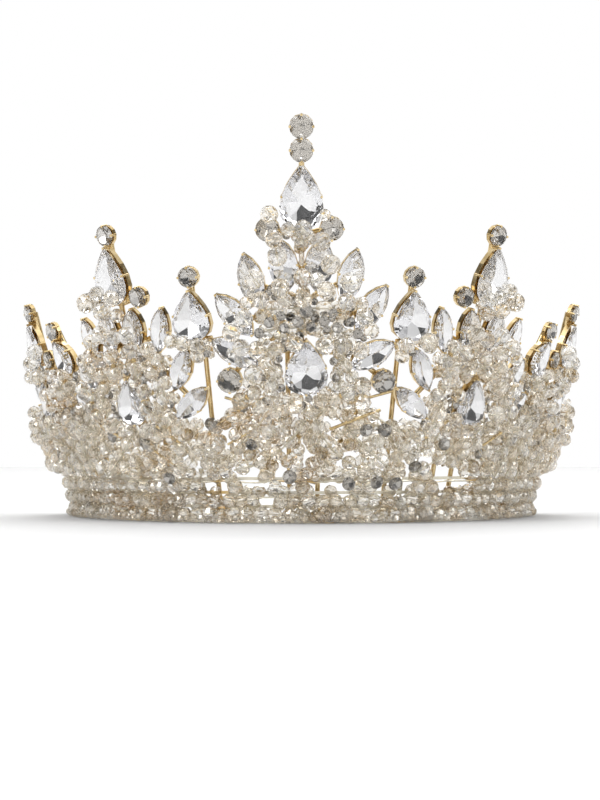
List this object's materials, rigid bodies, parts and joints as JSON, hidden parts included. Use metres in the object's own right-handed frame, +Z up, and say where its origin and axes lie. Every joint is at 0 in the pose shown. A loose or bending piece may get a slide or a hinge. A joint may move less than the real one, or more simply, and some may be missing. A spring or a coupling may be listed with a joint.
{
  "type": "open-backed crystal crown",
  "caption": "Open-backed gold crown of foiled crystals: leafy motifs and pear spires on a half-round band of wired beads.",
  "frame": {"origin": "centre of the base circle, on the plane that the crown stands on", "axes": "+Z up; the front motif faces -Y; +X is towards the wearer's left, to the right as seen from the front"},
  "size_m": [0.1742, 0.1149, 0.1146],
  "materials": {
    "gold": "polished",
    "crystal": "polished, foiled behind",
    "beads": "polished"
  },
  "bodies": {
    "root": {"band_frame": "gold", "bead_net": "beads", "bead_string_1": "beads", "bead_string_2": "beads", "bead_string_3": "beads", "bead_string_4": "beads", "front_mount": "gold", "flank_right_mount": "gold", "end_right_mount": "gold", "inner_spire_right_mount": "gold", "outer_spire_right_mount": "gold", "flank_left_mount": "gold", "end_left_mount": "gold", "inner_spire_left_mount": "gold", "outer_spire_left_mount": "gold", "finial_stone": "crystal", "neck_stone": "crystal", "spire_stone": "crystal", "shoulder_stone_r": "crystal", "shoulder_stone_l": "crystal", "heart_stone_r": "crystal", "heart_stone_l": "crystal", "top_leaf_r": "crystal", "top_leaf_l": "crystal", "middle_leaf_r": "crystal", "middle_leaf_l": "crystal", "low_leaf_r": "crystal", "low_leaf_l": "crystal", "front_drop_stone": "crystal", "far_round_r": "crystal", "far_round_l": "crystal", "flank_right_stones": "crystal", "end_right_stones": "crystal", "inner_spire_right_stones": "crystal", "outer_spire_right_stones": "crystal", "flank_left_stones": "crystal", "end_left_stones": "crystal", "inner_spire_left_stones": "crystal", "outer_spire_left_stones": "crystal", "front_beads": "beads", "front_wires": "gold", "flank_right_beads": "beads", "flank_right_wires": "gold", "side_right_beads": "beads", "side_right_wires": "gold", "end_right_beads": "beads", "end_right_wires": "gold", "flank_left_beads": "beads", "flank_left_wires": "gold", "side_left_beads": "beads", "side_left_wires": "gold", "end_left_beads": "beads", "end_left_wires": "gold"}
  },
  "joints": []
}
